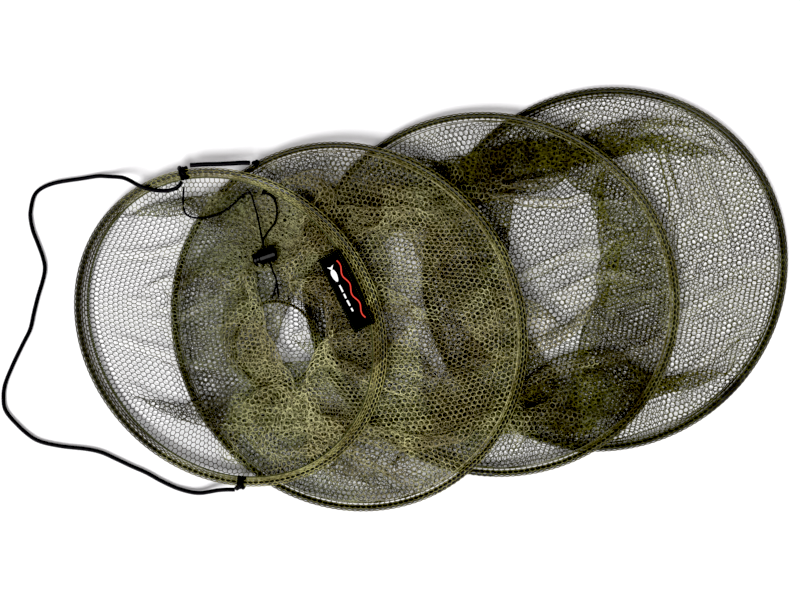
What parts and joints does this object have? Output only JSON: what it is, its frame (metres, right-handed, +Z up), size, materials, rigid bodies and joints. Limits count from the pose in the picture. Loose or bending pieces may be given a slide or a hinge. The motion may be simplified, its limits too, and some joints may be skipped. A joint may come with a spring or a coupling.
{
  "type": "collapsible fishing keep net",
  "caption": "Collapsible round keep net of olive netting on wire hoops, with a rope handle, a drawstring throat and a closed bottom, lying folded flat.",
  "frame": {"origin": "on the ground under the middle of the net, measured without its cords", "axes": "+Z up; +X from the mouth hoop towards the bottom hoop; +Y across the hoops, away from the handle's lower knot"},
  "size_m": [0.7502, 0.4035, 0.037],
  "materials": {
    "wire": "dark green-black plastic cover on spring wire",
    "steel": "blackened steel",
    "netting": "olive knotless nylon netting",
    "hem": "olive netting, doubled and pulled tight",
    "thread": "dark olive sewing thread",
    "rope": "black braided cord",
    "drawstring": "thin black cord",
    "plastic": "black moulded plastic",
    "label": "black coated label cloth"
  },
  "bodies": {
    "bottom_hoop": {"hoop_4": "wire", "hoop_4_joint_sleeve": "steel", "hoop_4_hem": "hem", "bottom_net": "netting"},
    "third_hoop": {"hoop_3": "wire", "hoop_3_joint_sleeve": "steel", "hoop_3_hem": "hem", "section_3_net": "netting"},
    "second_hoop": {"hoop_2": "wire", "hoop_2_joint_sleeve": "steel", "hoop_2_hem": "hem", "section_2_net": "netting", "throat_net": "netting", "throat_casing": "hem", "throat_drawstring": "drawstring", "drawstring_lead": "drawstring", "drawstring_return": "drawstring"},
    "mouth": {"hoop_1": "wire", "hoop_1_joint_sleeve": "steel", "mouth_hem": "hem", "mouth_hem_seam": "thread", "section_1_net": "netting", "label": "label", "handle_knot_top": "rope", "handle_knot_bottom": "rope", "handle_tail": "rope", "handle_tail_knot": "rope", "drawstring_end_knot": "drawstring"},
    "handle": {"handle_rope": "rope"},
    "cord_lock": {"cord_lock_barrel": "plastic", "cord_lock_spring": "steel"},
    "plunger": {"cord_lock_plunger": "plastic"}
  },
  "joints": [
    {"name": "third_hoop_lift", "type": "slide", "parent": "bottom_hoop", "child": "third_hoop", "axis": [0.4236, 0.0929, 0.9011], "range_m": [0, 0.2573], "deforming": ["section_3_net"]},
    {"name": "second_hoop_lift", "type": "slide", "parent": "third_hoop", "child": "second_hoop", "axis": [0.4932, 0.1113, 0.8628], "range_m": [0, 0.2742], "deforming": ["section_2_net"]},
    {"name": "mouth_lift", "type": "slide", "parent": "second_hoop", "child": "mouth", "axis": [0.4952, 0.0018, 0.8688], "range_m": [0, 0.2268], "deforming": ["section_1_net", "drawstring_lead", "drawstring_return"]},
    {"name": "handle_swing", "type": "hinge", "parent": "mouth", "child": "handle", "pos_m": [-0.20775, -0.02753, 0.01682], "axis": [-0.181, 0.9835, 0.001], "range_deg": [0, 160], "deforming": ["handle_rope"]},
    {"name": "cord_lock_slide", "type": "slide", "parent": "second_hoop", "child": "cord_lock", "axis": [0.3305, -0.9438, 0], "range_m": [-0.02, 0.007]},
    {"name": "plunger_press", "type": "slide", "parent": "cord_lock", "child": "plunger", "axis": [0.9438, 0.3305, 0], "range_m": [0, 0.002], "stiffness_N_per_m": 300, "springref_m": -0.001, "deforming": ["cord_lock_spring"]}
  ]
}
